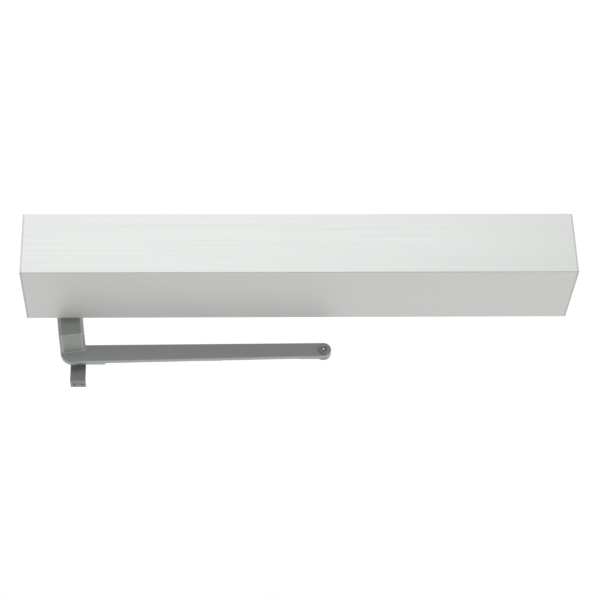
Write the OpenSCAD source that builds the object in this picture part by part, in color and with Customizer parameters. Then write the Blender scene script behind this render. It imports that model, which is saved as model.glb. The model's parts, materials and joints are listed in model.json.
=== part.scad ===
// Powered door closer: a full-length wall header with a spring closer, a gear motor and its controls
// inside, and a folded double-lever arm under its left end.
// Millimetres. Origin: middle of the header's wall face. +X right, +Y into the wall, +Z up.

/* [Header] */
// Overall length of the header
header_len = 914.4; // [900:0.1:960]
// Depth of the header, from the wall to its front
header_depth = 114.3; // [114:0.1:120]
// Height of the header
header_height = 146; // [146:0.5:156]
// Thickness of the cover's wall
cover_t = 3; // [2.5:0.1:3]
// Thickness of each end cap
cap_t = 3; // [2.5:0.1:3]
// Thickness of the back plate
back_t = 4; // [4:0.1:4.2]
// Radius of the cover's outer front edges
edge_r = 1.5; // [1:0.1:2]

/* [Wall holes] */
// Distance along X between the outer pair of wall holes
wall_outer_x = 800; // [780:1:810]
// Distance along X between the inner pair of wall holes
wall_inner_x = 300; // [290:1:310]
// Distance along Z between the two rows of wall holes
wall_z = 124; // [122:1:125]
// Radius of the wall holes
wall_hole_r = 3.2; // [2.5:0.1:3.3]

/* [Arm] */
// Distance from the spindle's axis to the left end of the header
spindle_inset = 65.2; // [64:0.1:67]
// Distance from the wall to the spindle's axis
spindle_depth = 57; // [56:0.1:58]
// Width of the neck of the main arm
neck_w = 43.3; // [38:0.1:44]
// Thickness of the neck of the main arm
neck_t = 10; // [8:0.1:10]
// Gap between the bottom of the header and the neck
neck_gap = 8; // [7:0.1:9]
// Chamfer along the neck's upper edges
neck_chamfer = 5; // [2:0.1:6]
// Thickness of the lever
lever_t = 8; // [6:0.1:8]
// Drop from the neck's top to the lever's top
joggle = 30; // [28:0.1:32]
// Width of the lever at its root
lever_root_w = 32.8; // [28:0.1:34]
// Width of the lever at the elbow
lever_tip_w = 26.8; // [24:0.1:28]
// Distance along X from the knee to the elbow
lever_run = 424.6; // [400:0.1:430]
// Radius of the elbow pin's head
elbow_head_r = 9.3; // [8.5:0.1:10]

/* [Forearm and shoe] */
// Outer radius of the forearm's tube
tube_r = 6.5; // [6:0.1:6.5]
// Radius of the forearm's rod
rod_r = 4.5; // [4:0.1:4.5]
// Width of the forearm's fitting at the elbow
elbow_fit_w = 22; // [20:0.1:24]
// Thickness of the forearm's fitting at the elbow
elbow_fit_t = 4.8; // [4.5:0.1:6]
// Width of the forearm's fitting at the shoe
shoe_fit_w = 31; // [24:0.1:32]
// Width of the shoe
shoe_w = 26; // [24:0.1:28]
// Distance from the shoe's pivot to its flange's outer face
shoe_reach = 46; // [40:0.1:50]
// Height of the shoe's flange
shoe_flange_h = 22; // [20:0.1:24]
// Distance between the shoe's two screw holes
shoe_hole_gap = 14; // [12:0.1:15]
// Radius of the shoe's screw holes
shoe_hole_r = 2; // [1.8:0.1:2.6]

/* [Gears] */
// Gear module
gear_m = 1.5; // [1.5]
// Teeth on the spindle's pinion and on the motor's pinion
pinion_teeth = 16; // [16]
// Teeth on the spindle gear
gear_teeth = 48; // [48]
// Play taken off each tooth at the pitch line
backlash = 0.16; // [0.1:0.01:0.2]

/* [Hidden] */
$fn = 64;
small = 32;
eps = 0.5;

aluminium = [0.80, 0.81, 0.80];
grey_paint = [0.45, 0.48, 0.46];
steel = [0.66, 0.67, 0.68];
dark_steel = [0.36, 0.37, 0.38];
rubber = [0.10, 0.10, 0.11];
brass = [0.72, 0.58, 0.30];
board_green = [0.10, 0.32, 0.20];

// header
half_len = header_len / 2;
half_h = header_height / 2;
front_y = -header_depth;
cover_half = half_len - cap_t;
inner_z = half_h - cover_t;
inner_front = front_y + cover_t;
plate_half = cover_half - 0.2;
plate_z = inner_z - 0.3;
plate_front = -back_t;
lip_depth = 16;
lip_t = 2.5;
tab_t = 2.5;
tab_depth = 14;
tab_half_h = 30;
cap_screw_y = -11;
cap_screw_z = 20;
cap_screw_r = 2;
rim_depth = 8;
rim_t = 2;
rim_back = -20;
cover_screw_y = -10;
cover_screw_gap = 200;
notch_r = 22;
grommet_x = 395;
grommet_z = 20;
grommet_r = 8;
grommet_hole_r = 11;

// spindle and closer body
spindle_x = -half_len + spindle_inset;
spindle_y = -spindle_depth;
closer_x0 = -half_len + 11.2;
closer_x1 = closer_x0 + 280;
closer_half = 27;
bore_z = -34;
closer_bottom = -60;
closer_top = -8;
bore_r = 20;
piston_r = 19.94;
shaft_bore_r = 15;
shaft_r = 9;
journal_gap = 0.04;
bearing_h = 8.3;
foot_w = 30;
foot_inset = 6;
foot_half_h = 16;
foot_screw_z = 8;
frame_screw_r = 3;
frame_head_r = 6;
frame_tap_r = 3.1;
seal_ring_r = 0.95;
seal_line_r = bore_r - 1.1;
left_seal_x = closer_x0 + 5.5;
right_seal_x = closer_x1 - 6;
oil_seal_r = 12.95;
bearing_cap_r = 20;
bearing_cap_t = 3;
valve_x = closer_x0 + 146;
valve_gap = 30;
valve_z = -16;
valve_r = 3.5;

// piston, rack and spring
pinion_r = gear_m * pinion_teeth / 2;
gear_r = gear_m * gear_teeth / 2;
addendum = 0.9 * gear_m;
dedendum = 1.25 * gear_m;
pinion_face = 24;
piston_x0 = closer_x0 + 10;
piston_len = 96;
piston_end = piston_x0 + piston_len;
piston_seal_x = piston_end - 12;
spring_pocket_r = 11;
spring_pocket = 6;
window_x0 = piston_x0 + 5;
window_x1 = spindle_x + 16;
window_back = 15;
window_h = 2 * bore_r + 10;
rack_pitch = PI * gear_m;
rack_left = 7;
rack_right = 2;
seat_x = closer_x1 - 20;
seat_t = 5;
plug_t = 12;
spring_r = 16;
wire_r = 2.5;
spring_turns = 10;
adjuster_r = 6;

// spindle gear and motor
gear_z = -2;
gear_t = 10;
motor_x = spindle_x + gear_r + pinion_r;
motor_r = 42;
bracket_z = 10;
bracket_t = 4;
base_z = bracket_z + bracket_t;
base_t = 6;
can_z = base_z + base_t;
can_h = 38;
can_wall = 3;
can_top = 6;
motor_shaft_r = 4;
motor_bearing_r = 11;
rotor_r = 34;
motor_screw_ring = 30;
bracket_half_w = 44;
bracket_front = -101;
bracket_screw_x = 36;
bracket_screw_z = [26, 50];
bracket_top = 62;
motor_hub_r = 12;
motor_screw_r = 2;
motor_head_r = 4;

// controls
psu_x = [-130, 30];
psu_y = [-96, -back_t];
psu_z = [-58, -2];
box_x = [60, 260];
box_front = -90;
box_half_h = 50;
box_wall = 2;
post = 7;
board_y = -16;
board_t = 1.6;
lead_r = 2.7;
lead_z = 44;
lead_y = -12;
clip_x = [-220, -100, 15];
block_x = 280;
block_ways = 5;
way_w = 10;
switch_x = 400;
switch_y = -70;
rocker_z = -half_h + 2.6;

// arm levels
neck_top = -half_h - neck_gap;
neck_bottom = neck_top - neck_t;
lever_top = neck_top - joggle;
lever_bottom = lever_top - lever_t;
hub_boss_r = 15;
hub_boss_h = 3;
drive_square = 12.7;
knee = [spindle_x + 11.4, spindle_y - 101.2];
neck_len = norm([knee[0] - spindle_x, knee[1] - spindle_y]);
neck_angle = atan2(knee[1] - spindle_y, knee[0] - spindle_x);
bend_u = 85.5;
drop_u = 103.5;
gusset_u = 80;
lever_shift = 3;
elbow = [knee[0] + lever_run, knee[1] + 2.8];

// forearm and shoe levels
play = 1.5;
fitting_top = lever_bottom - play;
fitting_t = 9.5;
fitting_bottom = fitting_top - fitting_t;
elbow_bottom = fitting_top - elbow_fit_t;
rod_z = fitting_top - 5.5;
pivot = [knee[0] + 7.6, knee[1] + 0.8];
pin_r = 6;
pin_gap = 0.05;
bush_t = 1.5;
shoe_pin_r = 5;
tube_len = 200;
elbow_fit_len = 40;
shoe_fit_len = 46;
tube_bore = rod_r + 0.08;
rod_len = 300;
shoe_top = fitting_bottom - 1;
shoe_t = 5;
shoe_hole_drop = 12;

// ---------------------------------------------------------------- shared shapes

// Rectangle with round corners, centred
module round_rect(size, r) {
  square([size[0] - 2 * r, size[1]], center = true);
  square([size[0], size[1] - 2 * r], center = true);
  for (sx = [-1, 1])
    for (sy = [-1, 1])
      translate([sx * (size[0] / 2 - r), sy * (size[1] / 2 - r)])
        circle(r = r);
}

// Extrudes a section drawn in (Y, Z) along X, from x0 to x1
module along_x(x0, x1) {
  translate([x0, 0, 0])
    rotate([90, 0, 90])
      linear_extrude(x1 - x0)
        children();
}

// Block between two corners
module block(low, high) {
  translate(low)
    cube(high - low);
}

// Cylinder along X from x0 to x1, on the axis through y and z
module rod_x(x0, x1, y, z, r) {
  translate([x0, y, z])
    rotate([0, 90, 0])
      cylinder(r = r, h = x1 - x0);
}

// Cylinder along Y from y0 to y1, on the axis through x and z
module rod_y(x, z, y0, y1, r) {
  translate([x, y1, z])
    rotate([90, 0, 0])
      cylinder(r = r, h = y1 - y0);
}

// Flat ring standing on z, between two radii
module ring(z, h, r_in, r_out) {
  translate([0, 0, z])
    difference() {
      cylinder(r = r_out, h = h);
      translate([0, 0, -eps])
        cylinder(r = r_in, h = h + 2 * eps);
    }
}

// Sealing ring round an axis along X
module seal_ring_x(x, y, z, r) {
  translate([x, y, z])
    rotate([0, 90, 0])
      rotate_extrude($fn = small)
        translate([r, 0])
          circle(r = seal_ring_r, $fn = small / 2);
}

// Countersunk screw whose head lies at z = 0 and whose shank runs down to -len
module flush_screw(r, len, head_r) {
  head_h = head_r - r;
  difference() {
    union() {
      translate([0, 0, -len])
        cylinder(r = r, h = len, $fn = small);
      translate([0, 0, -head_h])
        cylinder(r1 = r, r2 = head_r, h = head_h, $fn = small);
    }
    translate([0, 0, -head_h * 0.7])
      cylinder(r = r * 0.8, h = head_h, $fn = 6);
  }
}

// Space that a countersunk screw needs
module flush_hole(r, len, head_r) {
  gap = 0.1;
  head_h = head_r - r;
  translate([0, 0, -len])
    cylinder(r = r + gap, h = len + eps, $fn = small);
  translate([0, 0, -head_h])
    cylinder(r1 = r + gap, r2 = head_r + gap, h = head_h, $fn = small);
  translate([0, 0, -0.01])
    cylinder(r = head_r + gap, h = eps, $fn = small);
}

// Cable made of straight runs with round elbows
module cable(points, r) {
  for (i = [0:len(points) - 2]) {
    a = points[i];
    b = points[i + 1];
    d = b - a;
    run = norm(d);
    translate(a)
      rotate([0, acos(d[2] / run), atan2(d[1], d[0])])
        cylinder(r = r, h = run, $fn = 24);
    if (i > 0)
      translate(a)
        sphere(r = r, $fn = 24);
  }
}

// ---------------------------------------------------------------- gear teeth

pressure = 20;
function involute(a) = tan(a) - a * PI / 180;

// Half the angle that a tooth covers at radius r
function half_angle(r, pitch, base, half_pitch) =
  half_pitch + (involute(pressure) - involute(acos(min(1, base / r)))) * 180 / PI;

function polar(r, a) = [r * cos(a), r * sin(a)];

// One tooth's outline, rising on one flank and falling on the other
function tooth(n, i) =
  let (
    pitch = gear_m * n / 2,
    base = pitch * cos(pressure),
    root = pitch - dedendum,
    tip = pitch + addendum,
    half_pitch = 90 / n - backlash / 2 / pitch * 180 / PI,
    start = max(base, root),
    mid = i * 360 / n,
    steps = 4,
    radii = [for (k = [0:steps]) start + (tip - start) * k / steps],
    low = half_angle(start, pitch, base, half_pitch)
  )
  concat(
    [polar(root, mid - low)],
    [for (r = radii) polar(r, mid - half_angle(r, pitch, base, half_pitch))],
    [for (k = [steps:-1:0]) polar(radii[k], mid + half_angle(radii[k], pitch, base, half_pitch))],
    [polar(root, mid + low)]
  );

function gear_points(n) = [for (i = [0:n - 1]) each tooth(n, i)];

module gear_outline(n) {
  polygon(gear_points(n));
}

// Opening in the piston, with the rack's teeth along its +Y side
module window_outline() {
  half_tip = rack_pitch / 4 - backlash / 2 - addendum * tan(pressure);
  half_root = rack_pitch / 4 - backlash / 2 + dedendum * tan(pressure);
  root_y = pinion_r + dedendum;
  tip_y = pinion_r - addendum;
  teeth = [for (i = [rack_right:-1:-rack_left]) (i + 0.5) * rack_pitch];
  polygon(concat(
    [[window_x0 - spindle_x, root_y], [window_x0 - spindle_x, -window_back]],
    [[window_x1 - spindle_x, -window_back], [window_x1 - spindle_x, root_y]],
    [for (c = teeth) each [
      [c + half_root, root_y],
      [c + half_tip, tip_y],
      [c - half_tip, tip_y],
      [c - half_root, root_y]
    ]]
  ));
}

// ---------------------------------------------------------------- header

module mechanism_screw_places() {
  for (x = [closer_x0 + foot_inset + foot_w / 2, closer_x1 - foot_inset - foot_w / 2])
    for (s = [-1, 1])
      translate([x, 0, bore_z + s * foot_screw_z])
        rotate([-90, 0, 0])
          children();
  for (s = [-1, 1])
    for (z = bracket_screw_z)
      translate([motor_x + s * bracket_screw_x, 0, z])
        rotate([-90, 0, 0])
          children();
}

module back_plate() {
  color(aluminium)
    difference() {
      union() {
        block([-plate_half, -back_t, -plate_z], [plate_half, 0, plate_z]);
        for (s = [-1, 1])
          translate([0, 0, s * (plate_z - lip_t / 2)])
            block([-plate_half, -lip_depth, -lip_t / 2], [plate_half, -back_t + 0.01, lip_t / 2]);
        for (s = [-1, 1])
          translate([s * (plate_half - tab_t / 2), 0, 0])
            block([-tab_t / 2, -back_t - tab_depth, -tab_half_h], [tab_t / 2, -back_t + 0.01, tab_half_h]);
      }
      for (span = [wall_outer_x, wall_inner_x])
        for (sx = [-1, 1])
          for (sz = [-1, 1])
            rod_y(sx * span / 2, sz * wall_z / 2, -back_t - eps, eps, wall_hole_r);
      rod_y(grommet_x, grommet_z, -back_t - eps, eps, grommet_hole_r);
      mechanism_screw_places()
        flush_hole(frame_screw_r, back_t + eps, frame_head_r);
      for (s = [-1, 1])
        for (z = [-cap_screw_z, cap_screw_z])
          translate([s * plate_half, 0, 0])
            rod_x(-10, 10, cap_screw_y, z, cap_screw_r + 0.1);
      cover_screw_places()
        translate([0, 0, -12])
          cylinder(r = 2, h = 12, $fn = small);
    }
}

// Section of the cover in (Y, Z)
module cover_section() {
  difference() {
    translate([-header_depth / 2, 0])
      round_rect([header_depth, header_height], edge_r);
    translate([inner_front, -inner_z])
      square([header_depth, 2 * inner_z]);
  }
  for (s = [-1, 1])
    translate([-2 * edge_r, s * (half_h - cover_t / 2) - cover_t / 2])
      square([2 * edge_r, cover_t]);
}

module cover_screw_places() {
  for (i = [-1.5:1:1.5])
    translate([i * cover_screw_gap, cover_screw_y, -half_h])
      rotate([180, 0, 0])
        children();
}

module cover() {
  color(aluminium)
    difference() {
      along_x(-cover_half, cover_half)
        cover_section();
      translate([spindle_x, spindle_y, -half_h - eps])
        cylinder(r = notch_r, h = cover_t + 2 * eps);
      block([spindle_x - notch_r, spindle_y, -half_h - eps], [spindle_x + notch_r, eps, -inner_z + eps]);
      block(
        [switch_x - 12.2, switch_y - 6.2, -half_h - eps],
        [switch_x + 12.2, switch_y + 6.2, -inner_z + eps]
      );
      cover_screw_places()
        flush_hole(1.9, cover_t + eps, 3.6);
    }
}

// Left-hand end cap, with its rim inside the cover
module end_cap() {
  difference() {
    union() {
      along_x(-half_len, -cover_half)
        translate([-header_depth / 2, 0])
          round_rect([header_depth, header_height], edge_r);
      along_x(-cover_half - 0.01, -cover_half + rim_depth)
        difference() {
          translate([inner_front + 0.3, -plate_z])
            square([rim_back - inner_front - 0.3, 2 * plate_z]);
          translate([inner_front + 0.3 + rim_t, -plate_z + rim_t])
            square([header_depth, 2 * (plate_z - rim_t)]);
        }
    }
    for (z = [-cap_screw_z, cap_screw_z])
      translate([-half_len, cap_screw_y, z])
        rotate([0, -90, 0])
          flush_hole(cap_screw_r, cap_t + eps, 4);
  }
}

module end_cap_left() {
  color(aluminium)
    end_cap();
}

module end_cap_right() {
  color(aluminium)
    mirror([1, 0, 0])
      end_cap();
}

module end_cap_screws() {
  color(steel)
    for (m = [0, 1])
      mirror([m, 0, 0])
        for (z = [-cap_screw_z, cap_screw_z])
          translate([-half_len, cap_screw_y, z])
            rotate([0, -90, 0])
              flush_screw(cap_screw_r, 12, 4);
}

module cover_screws() {
  color(steel)
    cover_screw_places()
      flush_screw(1.9, 11, 3.6);
}

module cable_grommet() {
  color(rubber)
    translate([grommet_x, 0, grommet_z])
      rotate([90, 0, 0])
        difference() {
          union() {
            cylinder(r = grommet_hole_r - 0.05, h = back_t);
            translate([0, 0, back_t])
              cylinder(r = grommet_hole_r + 3, h = 3);
          }
          translate([0, 0, -eps])
            cylinder(r = grommet_r, h = back_t + 4);
        }
}

// ---------------------------------------------------------------- closer mechanism

module closer_body() {
  color(dark_steel)
    difference() {
      union() {
        block(
          [closer_x0, spindle_y - closer_half, closer_bottom],
          [closer_x1, spindle_y + closer_half, closer_top]
        );
        for (x = [closer_x0 + foot_inset, closer_x1 - foot_inset - foot_w])
          block(
            [x, spindle_y + closer_half - 0.01, bore_z - foot_half_h],
            [x + foot_w, plate_front, bore_z + foot_half_h]
          );
      }
      rod_x(closer_x0 - eps, closer_x1 + eps, spindle_y, bore_z, bore_r);
      translate([spindle_x, spindle_y, closer_bottom - eps])
        cylinder(r = shaft_bore_r, h = closer_top - closer_bottom + 2 * eps);
      valve_places()
        rod_y(0, 0, -eps, 11, valve_r + 0.1);
      mechanism_screw_places()
        translate([0, 0, -18])
          cylinder(r = frame_tap_r, h = 18);
    }
}

// Places its children at each valve's hole in the closer's front
module valve_places() {
  for (i = [0:2])
    translate([valve_x + valve_gap * i, spindle_y - closer_half, valve_z])
      children();
}

module mechanism_screws() {
  color(steel)
    mechanism_screw_places()
      flush_screw(frame_screw_r, 7.8, frame_head_r);
}

module spindle_bearings() {
  color(steel)
    translate([spindle_x, spindle_y, 0]) {
      ring(closer_top - 0.5 - bearing_h, bearing_h, shaft_r + journal_gap, shaft_bore_r - 0.03);
      ring(closer_bottom + 0.5, bearing_h, shaft_r + journal_gap, shaft_bore_r - 0.03);
    }
}

module bearing_caps() {
  color(steel)
    translate([spindle_x, spindle_y, 0]) {
      ring(closer_top, bearing_cap_t, oil_seal_r + 0.05, bearing_cap_r);
      ring(closer_bottom - bearing_cap_t, bearing_cap_t, oil_seal_r + 0.05, bearing_cap_r);
    }
}

module spindle_seals() {
  color(rubber)
    translate([spindle_x, spindle_y, 0]) {
      ring(closer_top + 0.2, 2.6, shaft_r + journal_gap, oil_seal_r);
      ring(closer_bottom - 2.8, 2.6, shaft_r + journal_gap, oil_seal_r);
    }
}

module left_end_plug() {
  color(steel)
    difference() {
      rod_x(closer_x0, closer_x0 + 8, spindle_y, bore_z, bore_r - 0.05);
      translate([closer_x0 - eps, spindle_y, bore_z])
        rotate([0, 90, 0])
          cylinder(r = 6, h = 4, $fn = 6);
      plug_groove(left_seal_x);
    }
}

// Groove for a sealing ring in something that fills the bore
module plug_groove(x) {
  difference() {
    rod_x(x - 1.2, x + 1.2, spindle_y, bore_z, bore_r + 1);
    rod_x(x - 2, x + 2, spindle_y, bore_z, bore_r - 2.1);
  }
}

module right_end_plug() {
  color(steel)
    difference() {
      rod_x(closer_x1 - plug_t, closer_x1, spindle_y, bore_z, bore_r - 0.05);
      rod_x(closer_x1 - plug_t - eps, closer_x1 + eps, spindle_y, bore_z, adjuster_r + 0.05);
      plug_groove(right_seal_x);
    }
}

module plug_seals() {
  color(rubber)
    for (x = [left_seal_x, right_seal_x])
      seal_ring_x(x, spindle_y, bore_z, seal_line_r);
}

module rack_piston() {
  color(steel)
    difference() {
      rod_x(piston_x0, piston_end, spindle_y, bore_z, piston_r);
      translate([spindle_x, spindle_y, bore_z - window_h / 2])
        linear_extrude(window_h)
          window_outline();
      plug_groove(piston_seal_x);
      rod_x(piston_end - spring_pocket, piston_end + eps, spindle_y, bore_z, spring_pocket_r);
    }
}

module piston_seals() {
  color(rubber)
    seal_ring_x(piston_seal_x, spindle_y, bore_z, seal_line_r);
}

// Coil spring along X, swept from rings of points
module closing_spring() {
  x0 = piston_end + wire_r + 0.2;
  x1 = seat_x - wire_r - 0.2;
  rings_per_turn = 14;
  rings = rings_per_turn * spring_turns;
  sides = 7;
  slope = atan2((x1 - x0) / spring_turns, 2 * PI * spring_r);
  points = [
    for (i = [0:rings])
      let (a = 360 * spring_turns * i / rings, x = x0 + (x1 - x0) * i / rings)
        for (k = [0:sides - 1])
          let (
            b = 360 * k / sides,
            r = spring_r + wire_r * cos(b),
            tilt = wire_r * sin(b)
          )
            [
              x + tilt * cos(slope),
              spindle_y + r * cos(a) + tilt * sin(slope) * sin(a),
              bore_z + r * sin(a) - tilt * sin(slope) * cos(a)
            ]
  ];
  sides_faces = [
    for (i = [0:rings - 1])
      for (k = [0:sides - 1])
        let (n = (k + 1) % sides)
          [i * sides + k, (i + 1) * sides + k, (i + 1) * sides + n, i * sides + n]
  ];
  ends = [
    [for (k = [0:sides - 1]) k],
    [for (k = [sides - 1:-1:0]) rings * sides + k]
  ];
  color(steel)
    polyhedron(points, concat(sides_faces, ends));
}

module spring_seat() {
  color(steel)
    rod_x(seat_x, seat_x + seat_t, spindle_y, bore_z, bore_r - 0.5);
}

module adjuster_screw() {
  color(dark_steel)
    difference() {
      rod_x(seat_x + seat_t, closer_x1 + 4, spindle_y, bore_z, adjuster_r);
      translate([closer_x1, spindle_y, bore_z])
        rotate([0, 90, 0])
          cylinder(r = 3.5, h = 5, $fn = 6);
    }
}

module valve_screws() {
  color(brass)
    valve_places()
      difference() {
        rod_y(0, 0, 1, 10.5, valve_r);
        translate([0, 1.5, 0])
          cube([5, 2.5, 1], center = true);
      }
}

module spindle() {
  square_h = hub_boss_h + neck_t;
  square_z = neck_bottom;
  color(steel)
    translate([spindle_x, spindle_y, 0])
      difference() {
        union() {
          translate([0, 0, square_z + square_h])
            cylinder(r = shaft_r, h = gear_z - square_z - square_h);
          translate([0, 0, bore_z - pinion_face / 2])
            linear_extrude(pinion_face)
              gear_outline(pinion_teeth);
          translate([0, 0, gear_z - 0.01])
            cylinder(r = shaft_r - 1, h = 11);
          translate([-drive_square / 2, -drive_square / 2, square_z])
            cube([drive_square, drive_square, square_h + 0.01]);
        }
        translate([0, 0, square_z - eps])
          cylinder(r = 4, h = 22);
      }
}

module spindle_gear() {
  color(steel)
    translate([spindle_x, spindle_y, gear_z])
      difference() {
        linear_extrude(gear_t)
          gear_outline(gear_teeth);
        translate([0, 0, -eps])
          cylinder(r = shaft_r - 1 + 0.02, h = gear_t + 2 * eps);
        for (a = [0:60:300])
          rotate(a + 30)
            translate([gear_r * 0.58, 0, -eps])
              cylinder(r = 6, h = gear_t + 2 * eps, $fn = small);
      }
}

module gear_retainer() {
  color(dark_steel)
    translate([spindle_x, spindle_y, 0])
      ring(gear_z + gear_t, 0.9, shaft_r - 1 + 0.02, shaft_r + 2);
}

// ---------------------------------------------------------------- motor

module motor_screw_places() {
  for (a = [60, 180, 300])
    translate([motor_x, spindle_y, bracket_z])
      rotate(a)
        translate([motor_screw_ring, 0, 0])
          rotate([180, 0, 0])
            children();
}

module motor_bracket() {
  color(aluminium)
    difference() {
      union() {
        block(
          [motor_x - bracket_half_w, bracket_front, bracket_z],
          [motor_x + bracket_half_w, plate_front, bracket_z + bracket_t]
        );
        block(
          [motor_x - bracket_half_w, plate_front - bracket_t, bracket_z + bracket_t - 0.01],
          [motor_x + bracket_half_w, plate_front, bracket_top]
        );
      }
      translate([motor_x, spindle_y, bracket_z - eps])
        cylinder(r = motor_hub_r, h = bracket_t + 2 * eps);
      motor_screw_places()
        flush_hole(motor_screw_r, bracket_t + eps, motor_head_r);
      mechanism_screw_places()
        translate([0, 0, -12])
          cylinder(r = frame_tap_r, h = 12, $fn = small);
    }
}

module motor_screws() {
  color(steel)
    motor_screw_places()
      flush_screw(motor_screw_r, 9, motor_head_r);
}

module motor_base() {
  color(dark_steel)
    difference() {
      translate([motor_x, spindle_y, 0])
        ring(base_z, base_t, motor_bearing_r, motor_r);
      motor_screw_places()
        translate([0, 0, -9.2])
          cylinder(r = motor_screw_r + 0.1, h = 10, $fn = small);
    }
}

module motor_can() {
  color(dark_steel)
    translate([motor_x, spindle_y, can_z])
      difference() {
        cylinder(r = motor_r, h = can_h);
        translate([0, 0, -eps])
          cylinder(r = motor_r - can_wall, h = can_h - can_top + eps);
        cylinder(r = motor_bearing_r, h = can_h - 2);
      }
}

module motor_magnets() {
  color(dark_steel)
    translate([motor_x, spindle_y, can_z])
      difference() {
        ring(3, 24, rotor_r + 1, motor_r - can_wall - 0.1);
        for (a = [0:90:270])
          rotate(a + 45)
            translate([rotor_r, -2, 2])
              cube([8, 4, 27]);
      }
}

module motor_bearings() {
  color(steel)
    translate([motor_x, spindle_y, 0]) {
      ring(base_z + 0.2, base_t - 0.4, motor_shaft_r + journal_gap, motor_bearing_r - 0.03);
      ring(can_z + can_h - 8, 5.8, motor_shaft_r + journal_gap, motor_bearing_r - 0.03);
    }
}

module motor_shaft() {
  color(steel)
    translate([motor_x, spindle_y, gear_z - 1])
      cylinder(r = motor_shaft_r, h = can_z + can_h - 3 - gear_z);
}

module motor_rotor() {
  slots = 12;
  color([0.62, 0.36, 0.22])
    translate([motor_x, spindle_y, can_z + 4])
      difference() {
        cylinder(r = rotor_r, h = 22);
        translate([0, 0, -eps])
          cylinder(r = motor_shaft_r + 0.02, h = 23);
        for (i = [0:slots - 1])
          rotate(i * 360 / slots)
            translate([rotor_r - 8, -1.2, -eps])
              cube([9, 2.4, 23]);
      }
}

module motor_pinion() {
  color(steel)
    translate([motor_x, spindle_y, gear_z])
      difference() {
        linear_extrude(gear_t)
          rotate(180 / pinion_teeth)
            gear_outline(pinion_teeth);
        translate([0, 0, -eps])
          cylinder(r = motor_shaft_r + 0.02, h = gear_t + 2 * eps);
      }
}

// ---------------------------------------------------------------- power supply and controls

module power_supply() {
  vents = 12;
  vent_pitch = 11;
  wall = 2;
  core_depth = 60;
  color(steel)
    difference() {
      block([psu_x[0], psu_y[0], psu_z[0]], [psu_x[1], psu_y[1], psu_z[1]]);
      block(
        [psu_x[0] + wall, psu_y[0] + wall, psu_z[0] + wall],
        [psu_x[1] - wall, psu_y[1] - wall - core_depth, psu_z[1] - wall]
      );
      for (i = [0:vents - 1])
        translate([psu_x[0] + 17 + i * vent_pitch, psu_y[0] - eps, psu_z[0] + 12])
          cube([5, wall + 2 * eps, 32]);
    }
}

module control_box() {
  color(grey_paint)
    difference() {
      union() {
        difference() {
          block([box_x[0], box_front, -box_half_h], [box_x[1], plate_front, box_half_h]);
          block(
            [box_x[0] + box_wall, box_front - eps, -box_half_h + box_wall],
            [box_x[1] - box_wall, plate_front - box_wall, box_half_h - box_wall]
          );
        }
        box_corners(box_wall + post / 2)
          block([-post / 2 - 0.01, box_front, -post / 2 - 0.01], [post / 2 + 0.01, -5, post / 2 + 0.01]);
        box_corners(20)
          rod_y(0, 0, board_y, -5, 3.5);
      }
      box_corners(box_wall + post / 2)
        rod_y(0, 0, box_front - eps, box_front + 12, 1.6);
    }
}

// Places its children at a distance from each corner of the control box
module box_corners(inset) {
  for (x = [box_x[0] + inset, box_x[1] - inset])
    for (z = [-box_half_h + inset, box_half_h - inset])
      translate([x, 0, z])
        children();
}

module control_lid() {
  color(grey_paint)
    difference() {
      block([box_x[0], box_front - 2, -box_half_h], [box_x[1], box_front, box_half_h]);
      box_corners(box_wall + post / 2)
        rod_y(0, 0, box_front - 3, box_front + eps, 1.7);
    }
}

module lid_screws() {
  color(steel)
    box_corners(box_wall + post / 2) {
      rod_y(0, 0, box_front - 2, box_front + 9, 1.5);
      rod_y(0, 0, box_front - 4, box_front - 2, 3);
    }
}

module circuit_board() {
  color(board_green)
    block(
      [box_x[0] + 12, board_y - board_t, -box_half_h + 6],
      [box_x[1] - 12, board_y, box_half_h - 6]
    );
}

module board_parts() {
  face = board_y - board_t;
  relay = [28, 16, 15];
  fins = 6;
  fin_pitch = 8;
  color(rubber) {
    for (i = [0:2])
      translate([box_x[0] + 30 + i * 36, face - relay[1], 12])
        cube(relay);
    for (i = [0:1])
      rod_y(box_x[0] + 40 + i * 28, -20, face - 34, face, 10);
  }
  color(aluminium)
    difference() {
      block([box_x[1] - 66, face - 40, -30], [box_x[1] - 20, face, 30]);
      for (i = [0:fins - 1])
        translate([box_x[1] - 62 + i * fin_pitch - 0.5, face - 41, -31])
          cube([4, 35, 62]);
    }
}

module terminal_block() {
  color([0.85, 0.84, 0.78])
    difference() {
      block([block_x, -24, -12], [block_x + block_ways * way_w, plate_front, 12]);
      for (i = [0:block_ways - 1])
        for (s = [-1, 1])
          rod_y(block_x + (i + 0.5) * way_w, s * 6, -25, -14, 3);
    }
}

module switch_body() {
  color(rubber)
    difference() {
      union() {
        block([switch_x - 12, switch_y - 6, -half_h - 0.01], [switch_x + 12, switch_y + 6, -half_h + 21]);
        block([switch_x - 14, switch_y - 8.5, -half_h - 1.2], [switch_x + 14, switch_y + 8.5, -half_h]);
      }
      block([switch_x - 11, switch_y - 4.9, -half_h - 2], [switch_x + 11, switch_y + 4.9, -half_h + 9]);
      rod_y(switch_x, rocker_z, switch_y - 5.8, switch_y + 5.8, 1.25);
    }
}

module switch_rocker() {
  color([0.16, 0.16, 0.17]) {
    translate([switch_x, switch_y, rocker_z])
      rotate([90, 0, 0])
        linear_extrude(9.4, center = true)
          polygon([[-9.5, 3], [-10, -5.6], [0, -4.2], [10, -5.6], [9.5, 3]]);
    rod_y(switch_x, rocker_z, switch_y - 5.6, switch_y + 5.6, 1.2);
  }
}

module motor_lead() {
  x0 = motor_x + motor_r + 0.1;
  x1 = x0 + 16;
  color(rubber)
    cable(
      [[x0, spindle_y, lead_z], [x1, spindle_y, lead_z], [x1, lead_y, lead_z], [box_x[0], lead_y, lead_z]],
      lead_r
    );
}

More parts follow.
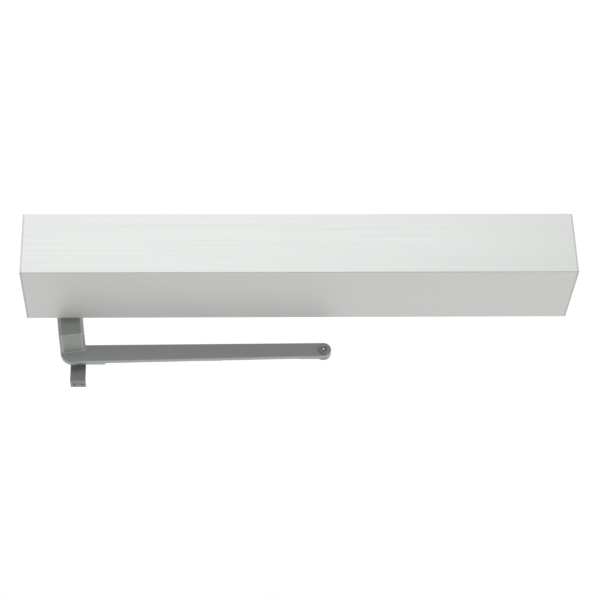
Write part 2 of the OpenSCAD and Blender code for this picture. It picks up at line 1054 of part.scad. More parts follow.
module supply_lead() {
  color(rubber)
    rod_x(psu_x[1], box_x[0], -50, -30, lead_r);
}

module mains_lead() {
  low = -62;
  color(rubber)
    cable(
      [[block_x + 25, -18, -12], [block_x + 25, -18, low], [-50, -18, low], [-50, -18, psu_z[0]]],
      2.5
    );
}

module switch_lead() {
  top = -half_h + 21;
  color(rubber)
    cable(
      [[switch_x, switch_y, top], [switch_x, switch_y, -30], [box_x[1], switch_y, -30]],
      2
    );
}

module lead_clips() {
  color(rubber)
    for (x = clip_x)
      difference() {
        block([x - 4, lead_y - 5, lead_z - 5], [x + 4, plate_front, lead_z + 5]);
        rod_x(x - 5, x + 5, lead_y, lead_z, lead_r + 0.05);
      }
}

// ---------------------------------------------------------------- main arm

// Square bar on its corner, along +X, whose lower half takes off an edge on the side s
module edge_bar(len, s) {
  proud = 0.05;
  side = (neck_chamfer + 2 * proud) * sqrt(2);
  translate([0, s * proud, proud])
    rotate([45, 0, 0])
      translate([0, -side / 2, -side / 2])
        cube([len, side, side]);
}

// What comes off the upper edges along the neck's flat
module flat_edges() {
  lead = 14;
  for (s = [-1, 1])
    translate([-lead, s * neck_w / 2, neck_top])
      edge_bar(bend_u + lead, s);
}

// What comes off the upper edges down the neck's drop
module drop_edges() {
  slope = atan2(joggle, drop_u - bend_u);
  drop = norm([drop_u - bend_u, joggle]);
  overrun = 1.5;
  for (s = [-1, 1])
    translate([bend_u, s * neck_w / 2, neck_top])
      rotate([0, slope, 0])
        edge_bar(drop + overrun, s);
}

// Side profile of the neck, whose drop and gusset both run down into the middle of the lever's thickness
module neck_blank() {
  foot_z = lever_top - lever_t / 2;
  foot_u = bend_u + (neck_top - foot_z) * (drop_u - bend_u) / joggle;
  rotate([90, 0, 0])
    linear_extrude(neck_w + 2, center = true)
      polygon([
        [-neck_w, neck_top], [bend_u, neck_top], [foot_u, foot_z],
        [gusset_u + 5, foot_z], [gusset_u - 12, neck_bottom], [-neck_w, neck_bottom]
      ]);
}

// Plan of the neck, round at the spindle
module neck_plan() {
  circle(r = neck_w / 2);
  translate([0, -neck_w / 2])
    square([neck_len, neck_w]);
}

// Plan of the knee, round at its far end
module knee_plan() {
  translate([neck_len, 0])
    circle(r = neck_w / 2);
  translate([gusset_u, -neck_w / 2])
    square([neck_len - gusset_u, neck_w]);
}

// Neck in its own frame: along +X from the spindle, with z as in the part
module arm_neck() {
  difference() {
    difference() {
      intersection() {
        neck_blank();
        translate([0, 0, lever_bottom])
          linear_extrude(60)
            neck_plan();
      }
      flat_edges();
    }
    drop_edges();
  }
}

module main_arm() {
  tip_shy = 0.2;
  color(grey_paint)
    difference() {
      union() {
        translate([spindle_x, spindle_y, 0])
          rotate(neck_angle)
            arm_neck();
        translate([spindle_x, spindle_y, neck_top - 0.01])
          cylinder(r = hub_boss_r, h = hub_boss_h + 0.01);
        translate([0, 0, lever_bottom])
          linear_extrude(lever_t) {
            translate([spindle_x, spindle_y])
              rotate(neck_angle)
                knee_plan();
            polygon([
              [knee[0], knee[1] - lever_shift + lever_root_w / 2],
              [knee[0], knee[1] - lever_shift - lever_root_w / 2],
              [elbow[0], elbow[1] - lever_tip_w / 2 + tip_shy],
              [elbow[0], elbow[1] + lever_tip_w / 2 - tip_shy]
            ]);
            translate(elbow)
              circle(r = lever_tip_w / 2);
          }
      }
      translate([spindle_x, spindle_y, neck_top])
        cube([drive_square + 0.1, drive_square + 0.1, 40], center = true);
      translate([elbow[0], elbow[1], lever_bottom - eps])
        cylinder(r = pin_r + 0.02, h = lever_t + 2 * eps);
    }
}

module hub_screw() {
  color(steel)
    translate([spindle_x, spindle_y, neck_bottom])
      union() {
        translate([0, 0, -2.5])
          cylinder(r = 14, h = 2.5);
        translate([0, 0, -7.5])
          cylinder(r = 7, h = 5.01, $fn = 6);
        translate([0, 0, -1])
          cylinder(r = 3.95, h = 20);
      }
}

module elbow_pin() {
  color(steel)
    translate([elbow[0], elbow[1], 0])
      union() {
        translate([0, 0, lever_top])
          cylinder(r = elbow_head_r, h = 1.6);
        translate([0, 0, lever_top + 1.59])
          cylinder(r1 = elbow_head_r, r2 = elbow_head_r - 2.4, h = 1.4);
        translate([0, 0, elbow_bottom - 3])
          cylinder(r = pin_r, h = lever_top - elbow_bottom + 3.01);
      }
}

module elbow_clip() {
  color(dark_steel)
    translate([elbow[0], elbow[1], 0])
      ring(elbow_bottom - 2, 1.5, pin_r + 0.02, pin_r + 4);
}

// ---------------------------------------------------------------- forearm and shoe

module forearm_tube() {
  color(grey_paint)
    difference() {
      union() {
        translate([elbow[0], elbow[1], elbow_bottom])
          cylinder(r = lever_tip_w / 2, h = elbow_fit_t);
        translate([elbow[0] - elbow_fit_len, elbow[1] - elbow_fit_w / 2, elbow_bottom])
          cube([elbow_fit_len, elbow_fit_w, elbow_fit_t]);
        forearm_line()
          rod_x(-tube_len, -12, 0, rod_z, tube_r);
        forearm_line()
          translate([-tube_len, -8, rod_z - 8])
            cube([26, 16, 8 + tube_r - 0.3]);
      }
      translate([elbow[0], elbow[1], elbow_bottom - eps])
        cylinder(r = pin_r + bush_t + 0.02, h = elbow_fit_t + 2 * eps);
      forearm_line()
        rod_x(-tube_len - eps, -30, 0, rod_z, tube_bore);
      forearm_line()
        translate([-tube_len + 13, 0, rod_z - 9])
          cylinder(r = 3.05, h = 9);
    }
}

// Puts its children's X axis on the line from the elbow away from the shoe's pivot
module forearm_line() {
  translate([elbow[0], elbow[1], 0])
    rotate(atan2(elbow[1] - pivot[1], elbow[0] - pivot[0]))
      children();
}

module elbow_bush() {
  color(brass)
    translate([elbow[0], elbow[1], 0])
      ring(elbow_bottom, elbow_fit_t, pin_r + pin_gap, pin_r + bush_t);
}

module elbow_washer() {
  color(rubber)
    translate([elbow[0], elbow[1], 0])
      ring(fitting_top, 1.1, pin_r + 0.3, elbow_fit_w / 2 - 0.5);
}

module clamp_screw() {
  color(dark_steel)
    forearm_line()
      translate([-tube_len + 13, 0, rod_z - 10])
        difference() {
          cylinder(r = 3, h = 10 - rod_r - 0.15);
          translate([0, 0, -eps])
            cylinder(r = 1.6, h = 3, $fn = 6);
        }
}

module forearm_rod() {
  forearm_dir = atan2(elbow[1] - pivot[1], elbow[0] - pivot[0]);
  color(grey_paint)
    difference() {
      translate([pivot[0], pivot[1], 0])
        rotate(forearm_dir)
          union() {
            translate([0, 0, fitting_bottom])
              cylinder(r = shoe_fit_w / 2, h = fitting_t);
            translate([0, -shoe_fit_w / 2, fitting_bottom])
              cube([shoe_fit_len, shoe_fit_w, fitting_t]);
            rod_x(12, rod_len, 0, rod_z, rod_r);
          }
      translate([pivot[0], pivot[1], fitting_bottom - eps])
        cylinder(r = shoe_pin_r + pin_gap, h = fitting_t + 2 * eps);
      translate([pivot[0], pivot[1], fitting_top - 3])
        cylinder(r = 8.3, h = 4);
    }
}

module shoe_washer() {
  color(rubber)
    translate([pivot[0], pivot[1], 0])
      ring(fitting_bottom - 0.7, 0.7, shoe_pin_r + 0.3, 11);
}

module shoe() {
  outer = pivot[1] - shoe_reach;
  color(grey_paint)
    difference() {
      union() {
        translate([pivot[0], pivot[1], shoe_top - shoe_t])
          cylinder(r = shoe_w / 2, h = shoe_t);
        block(
          [pivot[0] - shoe_w / 2, outer, shoe_top - shoe_t],
          [pivot[0] + shoe_w / 2, pivot[1], shoe_top]
        );
        block(
          [pivot[0] - shoe_w / 2, outer, shoe_top - shoe_flange_h],
          [pivot[0] + shoe_w / 2, outer + shoe_t, shoe_top - shoe_t + 0.01]
        );
      }
      translate([pivot[0], pivot[1], shoe_top - shoe_t - eps])
        cylinder(r = shoe_pin_r + 0.02, h = shoe_t + 2 * eps);
      for (s = [-1, 1])
        rod_y(
          pivot[0] + s * shoe_hole_gap / 2, shoe_top - shoe_hole_drop,
          outer - eps, outer + shoe_t + eps, shoe_hole_r
        );
    }
}

module shoe_pin() {
  color(steel)
    translate([pivot[0], pivot[1], 0])
      union() {
        translate([0, 0, fitting_top - 2.8])
          cylinder(r = 8, h = 2.6);
        translate([0, 0, shoe_top - shoe_t - 2])
          cylinder(r = shoe_pin_r, h = fitting_top - 2.79 - shoe_top + shoe_t + 2);
        translate([0, 0, shoe_top - shoe_t - 2.4])
          cylinder(r1 = 7, r2 = 8, h = 2.4);
      }
}

// ---------------------------------------------------------------- what is drawn

back_plate();
cover();
end_cap_left();
end_cap_right();
end_cap_screws();
cover_screws();
closer_body();
mechanism_screws();
spindle_bearings();
bearing_caps();
spindle_seals();
left_end_plug();
right_end_plug();
plug_seals();
closing_spring();
spring_seat();
adjuster_screw();
valve_screws();
motor_bracket();
motor_screws();
motor_base();
motor_can();
motor_magnets();
motor_bearings();
power_supply();
control_box();
control_lid();
lid_screws();
circuit_board();
board_parts();
terminal_block();
switch_body();
cable_grommet();
motor_lead();
supply_lead();
mains_lead();
switch_lead();
lead_clips();
spindle();
spindle_gear();
gear_retainer();
main_arm();
hub_screw();
elbow_pin();
elbow_clip();
rack_piston();
piston_seals();
motor_shaft();
motor_rotor();
motor_pinion();
forearm_tube();
elbow_bush();
elbow_washer();
clamp_screw();
forearm_rod();
shoe_washer();
shoe();
shoe_pin();
switch_rocker();
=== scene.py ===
import json
import math

import bmesh
import bpy
from mathutils import Matrix, Vector

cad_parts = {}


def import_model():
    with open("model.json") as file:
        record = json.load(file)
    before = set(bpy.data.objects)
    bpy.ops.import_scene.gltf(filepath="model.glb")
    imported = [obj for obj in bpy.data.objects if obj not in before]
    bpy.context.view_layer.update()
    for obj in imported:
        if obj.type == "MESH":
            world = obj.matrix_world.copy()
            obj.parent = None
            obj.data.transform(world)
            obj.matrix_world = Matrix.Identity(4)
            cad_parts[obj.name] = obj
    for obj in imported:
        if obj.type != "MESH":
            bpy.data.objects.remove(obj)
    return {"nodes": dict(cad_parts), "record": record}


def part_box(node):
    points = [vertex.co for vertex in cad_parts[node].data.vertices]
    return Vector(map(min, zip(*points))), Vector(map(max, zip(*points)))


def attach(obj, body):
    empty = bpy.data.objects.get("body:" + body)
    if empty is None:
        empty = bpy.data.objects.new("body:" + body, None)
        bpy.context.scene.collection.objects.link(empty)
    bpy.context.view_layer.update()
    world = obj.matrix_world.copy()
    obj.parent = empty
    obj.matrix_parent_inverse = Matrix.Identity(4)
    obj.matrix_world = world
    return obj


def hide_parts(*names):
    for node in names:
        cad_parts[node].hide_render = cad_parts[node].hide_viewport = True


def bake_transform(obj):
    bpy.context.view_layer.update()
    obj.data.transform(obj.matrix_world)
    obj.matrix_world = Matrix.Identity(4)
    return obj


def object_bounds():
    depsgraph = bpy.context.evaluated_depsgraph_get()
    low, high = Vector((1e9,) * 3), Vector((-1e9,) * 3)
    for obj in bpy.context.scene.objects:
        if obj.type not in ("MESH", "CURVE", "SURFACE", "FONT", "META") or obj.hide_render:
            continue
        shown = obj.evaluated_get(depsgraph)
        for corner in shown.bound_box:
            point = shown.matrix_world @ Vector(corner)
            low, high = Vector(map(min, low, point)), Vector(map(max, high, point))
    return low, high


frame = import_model()
NODES = frame["nodes"]
RECORD = frame["record"]
CAD_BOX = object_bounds()
SLOT_OF = {p["node"]: p["material_slot"] for p in RECORD["subparts"]}
BODY_OF = {n: body for body, members in RECORD["behaviour"]["bodies"].items() for n in members}
MM = 0.001

# Most of a noise texture lies between these values.
NOISE_LOW = 0.3
NOISE_HIGH = 0.7


# ---------------------------------------------------------------- materials

class Surface:
    """A Principled material, with helpers that add its procedural detail."""

    def __init__(self, name, metallic=0.0, roughness=0.5, **sockets):
        self.material = bpy.data.materials.new(name)
        self.material.use_nodes = True
        self.tree = self.material.node_tree
        self.shader = self.tree.nodes["Principled BSDF"]
        self.shader.inputs["Metallic"].default_value = metallic
        self.shader.inputs["Roughness"].default_value = roughness
        for socket, value in sockets.items():
            self.shader.inputs[socket.replace("_", " ")].default_value = value
        self.coordinates = self.tree.nodes.new("ShaderNodeTexCoord")

    def link(self, source, target):
        self.tree.links.new(source, target)

    def place(self, stretch):
        """Object coordinates in metres, stretched per axis."""
        mapping = self.tree.nodes.new("ShaderNodeMapping")
        mapping.inputs["Scale"].default_value = stretch
        self.link(self.coordinates.outputs["Object"], mapping.inputs["Vector"])
        return mapping.outputs["Vector"]

    def noise(self, per_metre, stretch=(1, 1, 1), detail=3.0, rough=0.55):
        node = self.tree.nodes.new("ShaderNodeTexNoise")
        node.inputs["Scale"].default_value = per_metre
        node.inputs["Detail"].default_value = detail
        node.inputs["Roughness"].default_value = rough
        self.link(self.place(stretch), node.inputs["Vector"])
        return node.outputs["Fac"]

    def cells(self, per_metre, stretch=(1, 1, 1)):
        node = self.tree.nodes.new("ShaderNodeTexVoronoi")
        node.inputs["Scale"].default_value = per_metre
        self.link(self.place(stretch), node.inputs["Vector"])
        return node.outputs["Distance"]

    def attribute(self, name):
        """A number stored on the mesh's faces, or 0 where the mesh has none."""
        node = self.tree.nodes.new("ShaderNodeAttribute")
        node.attribute_name = name
        return node.outputs["Fac"]

    def level(self, value, low=NOISE_LOW, high=NOISE_HIGH, out_low=0.0, out_high=1.0):
        """The value, with low to high spread over out_low to out_high."""
        node = self.tree.nodes.new("ShaderNodeMapRange")
        node.inputs["From Min"].default_value = low
        node.inputs["From Max"].default_value = high
        node.inputs["To Min"].default_value = out_low
        node.inputs["To Max"].default_value = out_high
        self.link(value, node.inputs["Value"])
        return node.outputs["Result"]

    def mix(self, factor, a, b):
        """Colour a where factor is 0 and b where it is 1."""
        node = self.tree.nodes.new("ShaderNodeMix")
        node.data_type = "RGBA"
        self.link(factor, node.inputs["Factor"])
        for socket, value in ((node.inputs[6], a), (node.inputs[7], b)):
            if isinstance(value, tuple):
                socket.default_value = (*value, 1.0)
            else:
                self.link(value, socket)
        return node.outputs[2]

    def colour(self, source):
        self.link(source, self.shader.inputs["Base Color"])

    def roughness(self, source):
        self.link(source, self.shader.inputs["Roughness"])

    def bump(self, height, depth, strength=1.0):
        """Height field of that depth in metres. A second call adds to the first."""
        node = self.tree.nodes.new("ShaderNodeBump")
        node.inputs["Distance"].default_value = depth
        node.inputs["Strength"].default_value = strength
        self.link(height, node.inputs["Height"])
        before = self.shader.inputs["Normal"].links
        if before:
            self.link(before[0].from_socket, node.inputs["Normal"])
        self.link(node.outputs["Normal"], self.shader.inputs["Normal"])


def toned(colour, tone):
    """The colour, darker by that factor."""
    return tuple(tone * channel for channel in colour)


def anodised_aluminium(name="anodised_aluminium", tone=1.0):
    """Satin clear-anodised extrusion: fine die lines along X and a faint cloudiness."""
    s = Surface(name, metallic=0.5, roughness=0.42)
    lines = s.noise(420, (0.006, 1, 1), detail=5, rough=0.65)
    cloud = s.noise(7, (0.5, 1, 1), detail=2)
    low, high = toned((0.655, 0.662, 0.648), tone), toned((0.690, 0.697, 0.684), tone)
    base = s.mix(s.level(lines), low, high)
    s.colour(s.mix(s.level(cloud, 0.35, 0.7, 0.0, 0.35), base, toned((0.670, 0.679, 0.670), tone)))
    s.roughness(s.level(lines, out_low=0.47, out_high=0.56))
    s.bump(lines, 0.03 * MM, 0.5)
    return s.material


def arm_paint(name="arm_paint", tone=1.0):
    """Satin grey-silver paint over a forging: soft orange peel, fine flake, and lighter edges that are
    partly rubbed paint and partly a painted highlight along the bends.
    """
    s = Surface(name, metallic=0.35, roughness=0.45, Coat_Weight=0.15, Coat_Roughness=0.3)
    flake = s.noise(2600, detail=2, rough=0.7)
    cloud = s.noise(28, detail=3)
    low, high = toned((0.34, 0.362, 0.350), tone), toned((0.44, 0.462, 0.448), tone)
    base = s.mix(s.level(flake, 0.35, 0.65), low, high)
    base = s.mix(s.level(cloud, 0.35, 0.7, 0.0, 0.4), base, toned((0.38, 0.40, 0.385), tone))
    # Bevelled edges painted lighter: partly rubbed paint, partly a painted highlight standing in for the
    # bright lines along the bends.
    s.colour(s.mix(s.level(s.attribute("edge"), 0, 1, 0, 0.5), base, toned((0.66, 0.68, 0.66), tone)))
    s.roughness(s.level(cloud, out_low=0.40, out_high=0.52))
    s.bump(s.noise(520, detail=2), 0.06 * MM, 0.5)
    s.bump(s.noise(90, detail=3), 0.15 * MM, 0.5)
    return s.material


def zinc_steel():
    """Bright zinc plate with a faint spangle and handling marks."""
    s = Surface("zinc_steel", metallic=1.0, roughness=0.28)
    spangle = s.cells(420)
    marks = s.noise(900, (1, 0.2, 1), detail=4)
    s.colour(s.mix(s.level(spangle, 0.1, 0.8), (0.62, 0.64, 0.65), (0.74, 0.75, 0.74)))
    s.roughness(s.level(marks, out_low=0.22, out_high=0.38))
    s.bump(marks, 0.03 * MM, 0.4)
    return s.material


def dulled_steel():
    """Grey phosphated steel, rubbed a little brighter in patches, with a near-white painted highlight
    where it is peened.
    """
    s = Surface("dulled_steel", metallic=0.7, roughness=0.38)
    grain = s.noise(1500, detail=3, rough=0.65)
    rubbed = s.noise(210, detail=3)
    base = s.mix(s.level(grain), (0.26, 0.27, 0.265), (0.33, 0.34, 0.335))
    base = s.mix(s.level(rubbed, 0.45, 0.7, 0.0, 0.5), base, (0.42, 0.43, 0.425))
    # Marked faces, such as the pin's peened centre, are painted near white: a painted highlight on
    # bright peened metal.
    s.colour(s.mix(s.attribute("edge"), base, (0.88, 0.89, 0.87)))
    s.roughness(s.level(rubbed, out_low=0.44, out_high=0.30))
    s.bump(grain, 0.04 * MM, 0.5)
    return s.material


def machined_steel():
    """Turned and ground steel under a film of oil."""
    s = Surface("machined_steel", metallic=1.0, roughness=0.3, Coat_Weight=0.2, Coat_Roughness=0.12)
    lay = s.noise(1400, (1, 1, 0.06), detail=4)
    film = s.noise(45, detail=3)
    s.colour(s.mix(s.level(lay), (0.50, 0.51, 0.52), (0.66, 0.67, 0.67)))
    s.roughness(s.level(film, out_low=0.22, out_high=0.40))
    s.bump(lay, 0.03 * MM, 0.5)
    return s.material


def closer_casting():
    """Dark painted iron casting with a sandy skin."""
    s = Surface("closer_casting", metallic=0.2, roughness=0.6)
    sand = s.noise(700, detail=4, rough=0.7)
    cloud = s.noise(25, detail=2)
    s.colour(s.mix(s.level(sand), (0.030, 0.033, 0.036), (0.060, 0.064, 0.068)))
    s.roughness(s.level(cloud, out_low=0.5, out_high=0.72))
    s.bump(sand, 0.25 * MM, 0.6)
    return s.material


def ferrite():
    """Sintered magnet, matte and slightly grainy."""
    s = Surface("ferrite", roughness=0.75)
    grain = s.noise(1500, detail=3)
    s.colour(s.mix(grain, (0.020, 0.020, 0.022), (0.042, 0.042, 0.046)))
    s.roughness(s.level(grain, out_low=0.65, out_high=0.85))
    s.bump(grain, 0.05 * MM, 0.5)
    return s.material


def copper_winding():
    """Varnished windings packed between laminations."""
    s = Surface("copper_winding", metallic=0.8, roughness=0.35, Coat_Weight=0.4)
    layers = s.noise(1100, (0.1, 0.1, 1), detail=2)
    cloud = s.noise(60, detail=3)
    s.colour(s.mix(s.level(layers, 0.35, 0.65), (0.24, 0.12, 0.07), (0.48, 0.24, 0.13)))
    s.roughness(s.level(cloud, out_low=0.28, out_high=0.5))
    s.bump(layers, 0.2 * MM, 0.6)
    return s.material


def brass():
    """Turned brass, slightly dulled."""
    s = Surface("brass", metallic=1.0, roughness=0.3)
    lay = s.noise(1300, (1, 1, 0.1), detail=3)
    dull = s.noise(120, detail=3)
    s.colour(s.mix(s.level(dull, 0.35, 0.7), (0.55, 0.39, 0.15), (0.40, 0.29, 0.13)))
    s.roughness(s.level(dull, out_low=0.24, out_high=0.45))
    s.bump(lay, 0.03 * MM, 0.5)
    return s.material


def moulding(name, low, high, roughness, texture):
    """Moulded rubber or plastic: mottled colour, and a fine eroded texture of that depth."""
    s = Surface(name, roughness=roughness)
    grain = s.noise(1700, detail=3, rough=0.6)
    cloud = s.noise(35, detail=2)
    s.colour(s.mix(s.level(cloud), low, high))
    s.roughness(s.level(grain, out_low=roughness - 0.08, out_high=roughness + 0.1))
    s.bump(grain, texture, 0.6)
    return s.material


def board():
    """Green solder resist over copper tracks."""
    s = Surface("board", roughness=0.35, Coat_Weight=0.4, Coat_Roughness=0.15)
    tracks = s.cells(160, (1, 0.01, 1))
    weave = s.noise(900, detail=2)
    s.colour(s.mix(s.level(tracks, 0.25, 0.3), (0.020, 0.120, 0.060), (0.012, 0.070, 0.038)))
    s.roughness(s.level(weave, out_low=0.3, out_high=0.45))
    s.bump(tracks, 0.04 * MM, 0.4)
    return s.material


MAKERS = (
    anodised_aluminium,
    arm_paint,
    zinc_steel,
    dulled_steel,
    machined_steel,
    closer_casting,
    ferrite,
    copper_winding,
    brass,
    board,
)

# Darker and lighter tone, roughness and depth of texture.
MOULDINGS = {
    "rubber": ((0.012, 0.012, 0.012), (0.022, 0.022, 0.023), 0.75, 0.06 * MM),
    "nylon": ((0.020, 0.020, 0.022), (0.034, 0.034, 0.036), 0.5, 0.03 * MM),
    "control_plastic": ((0.060, 0.066, 0.070), (0.085, 0.092, 0.097), 0.6, 0.08 * MM),
    "board_components": ((0.012, 0.012, 0.013), (0.03, 0.03, 0.033), 0.45, 0.02 * MM),
    "terminal_plastic": ((0.52, 0.50, 0.44), (0.60, 0.58, 0.52), 0.5, 0.03 * MM),
    "switch_black": ((0.008, 0.008, 0.009), (0.014, 0.014, 0.015), 0.28, 0.01 * MM),
    "lead_black": ((0.012, 0.012, 0.013), (0.024, 0.024, 0.026), 0.55, 0.04 * MM),
}

MATERIALS = {make.__name__: make() for make in MAKERS}
MATERIALS.update({name: moulding(name, *look) for name, look in MOULDINGS.items()})

# Pieces darker than the rest of their slot, and by how much.
CAP_TONE = 0.80
# The shoe's darker tone is painted shade: a darker copy of the arm paint that stands in for the shadow
# under the lever.
SHOE_SHADE_TONE = 0.62
CAP_FINISH = anodised_aluminium("anodised_cap", CAP_TONE)
SHOE_SHADED_PAINT = arm_paint("shoe_painted_shade", SHOE_SHADE_TONE)
FINISHES_AND_SHADE = {"end_cap_left": CAP_FINISH, "end_cap_right": CAP_FINISH, "shoe": SHOE_SHADED_PAINT}


def dress(obj, node):
    """Gives the object the node's own finish or painted shade, or its slot's material."""
    obj.data.materials.clear()
    obj.data.materials.append(FINISHES_AND_SHADE.get(node) or MATERIALS[SLOT_OF[node]])


# ---------------------------------------------------------------- rebuilt pieces

def clean_copy(node, weld=0.01 * MM, flat=0.6):
    """The node's solid as a clean mesh: welded, with each flat face in one piece."""
    mesh = bmesh.new()
    mesh.from_mesh(NODES[node].data)
    bmesh.ops.remove_doubles(mesh, verts=mesh.verts, dist=weld)
    bmesh.ops.dissolve_limit(
        mesh, angle_limit=math.radians(flat), verts=mesh.verts, edges=mesh.edges, delimit={"NORMAL"}
    )
    data = bpy.data.meshes.new(node + "_skin")
    mesh.to_mesh(data)
    mesh.free()
    obj = bpy.data.objects.new(node + "_skin", data)
    bpy.context.scene.collection.objects.link(obj)
    return obj


def shown_for(obj, node):
    """The piece takes the node's place and material."""
    dress(obj, node)
    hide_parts(node)


def stands_for(obj, node):
    """The piece takes the node's place, material and motion."""
    shown_for(obj, node)
    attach(obj, BODY_OF[node])


def apply_modifiers(obj):
    """Replaces the object's mesh with its evaluated one."""
    graph = bpy.context.evaluated_depsgraph_get()
    made = bpy.data.meshes.new_from_object(obj.evaluated_get(graph))
    obj.modifiers.clear()
    obj.data = made


def smooth_by_angle(obj, degrees):
    """Smooth shading, with edges sharper than the angle kept crisp."""
    obj.data.shade_smooth()
    obj.data.set_sharp_from_angle(angle=math.radians(degrees))


def mark_edges(obj):
    """Moves what the bevel marked with a second material slot to a number on each face."""
    faces = obj.data.polygons
    edge = obj.data.attributes.new("edge", "FLOAT", "FACE")
    edge.data.foreach_set("value", [float(face.material_index) for face in faces])
    faces.foreach_set("material_index", [0] * len(faces))


def bevelled(node, width):
    """The node with its sharp edges rounded."""
    obj = clean_copy(node)
    for slot in ("face", "edge"):
        obj.data.materials.append(bpy.data.materials.new(slot))
    bevel = obj.modifiers.new("bevel", "BEVEL")
    bevel.width = width
    bevel.segments = 3
    bevel.limit_method = "ANGLE"
    bevel.angle_limit = math.radians(32)
    bevel.use_clamp_overlap = False
    bevel.miter_outer = "MITER_ARC"
    bevel.harden_normals = True
    bevel.material = 1
    smooth_by_angle(obj, 35)
    apply_modifiers(obj)
    mark_edges(obj)
    stands_for(obj, node)


def arc(centre, radius, start, end, steps):
    """Points (r, z) on an arc, with the angles in degrees."""
    angles = [math.radians(start + (end - start) * i / steps) for i in range(steps + 1)]
    return [(centre[0] + radius * math.cos(a), centre[1] + radius * math.sin(a)) for a in angles]


def turned(name, profile, centre, sides=72):
    """A solid turned about the vertical line through centre.

    Its profile is a list of points (r, z) that starts and ends at r = 0.
    """
    turns = [2 * math.pi * i / sides for i in range(sides)]
    mesh = bmesh.new()
    rings = []
    for r, z in profile:
        if r == 0:
            rings.append([mesh.verts.new((centre.x, centre.y, z))] * sides)
        else:
            around = ((centre.x + r * math.cos(a), centre.y + r * math.sin(a), z) for a in turns)
            rings.append([mesh.verts.new(point) for point in around])
    for upper, lower in zip(rings, rings[1:]):
        for i in range(sides):
            j = (i + 1) % sides
            corners = dict.fromkeys((upper[i], lower[i], lower[j], upper[j]))
            mesh.faces.new(list(corners))
    bmesh.ops.recalc_face_normals(mesh, faces=mesh.faces)
    data = bpy.data.meshes.new(name)
    mesh.to_mesh(data)
    mesh.free()
    obj = bpy.data.objects.new(name, data)
    bpy.context.scene.collection.objects.link(obj)
    smooth_by_angle(obj, 40)
    return obj


# ---------------------------------------------------------------- the object

EDGE_WIDTH = {
    "main_arm": 1.2 * MM,
    "forearm_tube": 0.5 * MM,
    "forearm_rod": 0.5 * MM,
    "shoe": 0.8 * MM,
}
LEVER_THICKNESS = 8 * MM


def elbow_head():
    """The elbow's pin: a domed head with a peened centre in a groove, that centre marked for a
    near-white painted highlight, and a chamfered shank.
    """
    low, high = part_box("elbow_pin")
    centre = (low + high) / 2
    head_r = high.x - centre.x
    shank_r = 6 * MM
    shank_chamfer = 0.5 * MM
    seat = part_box("main_arm")[0].z + LEVER_THICKNESS
    centre_r = 2.3 * MM
    groove_r = 4.2 * MM
    groove_z = high.z - 2.2 * MM
    rim = 0.9 * MM
    profile = [
        (0, high.z - 0.2 * MM),
        (0.6 * centre_r, high.z - 0.35 * MM),
        (centre_r, high.z - 0.8 * MM),
        (centre_r + 0.2 * MM, groove_z),
        (groove_r - 0.5 * MM, groove_z),
        (groove_r, high.z - 0.3 * MM),
        (groove_r + 0.3 * MM, high.z),
        (0.66 * head_r, high.z - 0.12 * MM),
        (0.76 * head_r, high.z - 0.45 * MM),
        *arc((head_r - rim, seat + rim), rim, 55, -90, 6),
        (shank_r, seat),
        (shank_r, low.z + shank_chamfer),
        (shank_r - shank_chamfer, low.z),
        (0, low.z),
    ]
    obj = turned("elbow_head", profile, centre)
    # The centre's faces are marked for a near-white painted highlight.
    bright = obj.data.attributes.new("edge", "FLOAT", "FACE")
    for face, value in zip(obj.data.polygons, bright.data):
        off_axis = (face.center - centre).xy.length
        value.value = float(off_axis < centre_r and face.center.z > groove_z)
    stands_for(obj, "elbow_pin")


def squeezed_spring():
    """The closing spring, whose coils close up as the piston travels towards the spring's seat; here a
    fixed, smooth-shaded copy of its solid.
    """
    obj = clean_copy("closing_spring", flat=0.05)
    smooth_by_angle(obj, 50)
    shown_for(obj, "closing_spring")
    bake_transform(obj)


for name, width in EDGE_WIDTH.items():
    bevelled(name, width)
elbow_head()
squeezed_spring()
for name, node in NODES.items():
    dress(node, name)


# ---------------------------------------------------------------- stage, light and camera

def floor(z, glow, width=30):
    """A wide pale floor that glows a little, as a lit table does."""
    bpy.ops.mesh.primitive_plane_add(size=width, location=(0, 0, z))
    obj = bpy.context.object
    obj.name = "floor"
    s = Surface("floor", roughness=0.9, Emission_Strength=glow, Emission_Color=(1, 1, 1, 1))
    s.colour(s.mix(s.noise(3, detail=2), (0.92, 0.92, 0.92), (0.95, 0.95, 0.95)))
    obj.data.materials.append(s.material)


def softbox(name, place, look_at, size, power, tint):
    light = bpy.data.lights.new(name, "AREA")
    light.shape = "RECTANGLE"
    light.size, light.size_y = size
    light.energy = power
    light.color = tint
    obj = bpy.data.objects.new(name, light)
    obj.location = place
    obj.rotation_euler = (Vector(look_at) - Vector(place)).to_track_quat("-Z", "Y").to_euler()
    bpy.context.scene.collection.objects.link(obj)


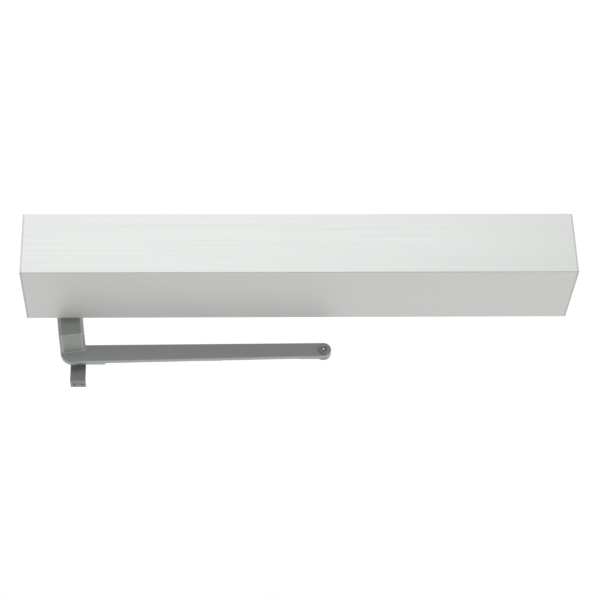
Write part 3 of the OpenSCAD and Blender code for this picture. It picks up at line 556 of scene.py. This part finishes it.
def world(strength):
    """An even white surround."""
    made = bpy.data.worlds.new("studio")
    made.use_nodes = True
    background = made.node_tree.nodes["Background"]
    background.inputs["Color"].default_value = (1.0, 1.0, 1.0, 1.0)
    background.inputs["Strength"].default_value = strength
    bpy.context.scene.world = made


def camera(place, yaw, pitch, roll, lens):
    """A camera turned left by yaw, tipped down by pitch and rolled, all in degrees. lens is in mm."""
    yaw, pitch, roll = (math.radians(a) for a in (yaw, pitch, roll))
    right = Vector((math.cos(yaw), math.sin(yaw), 0))
    ahead = Vector((-math.sin(yaw) * math.cos(pitch), math.cos(yaw) * math.cos(pitch), -math.sin(pitch)))
    up = right.cross(ahead)
    across = right * math.cos(roll) + up * math.sin(roll)
    above = up * math.cos(roll) - right * math.sin(roll)
    data = bpy.data.cameras.new("camera")
    data.lens = lens
    data.sensor_width = 36
    data.clip_end = 50
    obj = bpy.data.objects.new("camera", data)
    obj.matrix_world = Matrix.Translation(place) @ Matrix((across, above, -ahead)).transposed().to_4x4()
    bpy.context.scene.collection.objects.link(obj)
    bpy.context.scene.camera = obj


low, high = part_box("cover")
middle = (low + high) / 2
distance = 3.138
azimuth, elevation = math.radians(-4.90), math.radians(58.16)
outward = Vector((
    math.sin(azimuth) * math.cos(elevation),
    -math.cos(azimuth) * math.cos(elevation),
    math.sin(elevation),
))
camera(middle + outward * distance, yaw=-5.124, pitch=59.19, roll=4.239, lens=112.03)

FLOOR_DROP = 0.8
floor(CAD_BOX[0].z - FLOOR_DROP, glow=0.34)
world(strength=0.42)

# Name: place, point aimed at, size, power and colour.
SOFTBOXES = {
    "back_top": ((-0.3, 1.3, 2.4), (0, -0.05, 0), (3.2, 1.6), 41.0, (0.98, 1.0, 1.0)),
    "front": ((0.0, -3.0, 0.5), (0, -0.1, -0.1), (2.4, 0.7), 5.0, (1.0, 1.0, 0.88)),
    "right": ((2.8, -1.4, 1.2), (0, -0.1, 0), (1.4, 1.4), 16.0, (1.0, 1.0, 0.90)),
}
for name, light in SOFTBOXES.items():
    softbox(name, *light)
bpy.context.scene.view_settings.view_transform = "Standard"
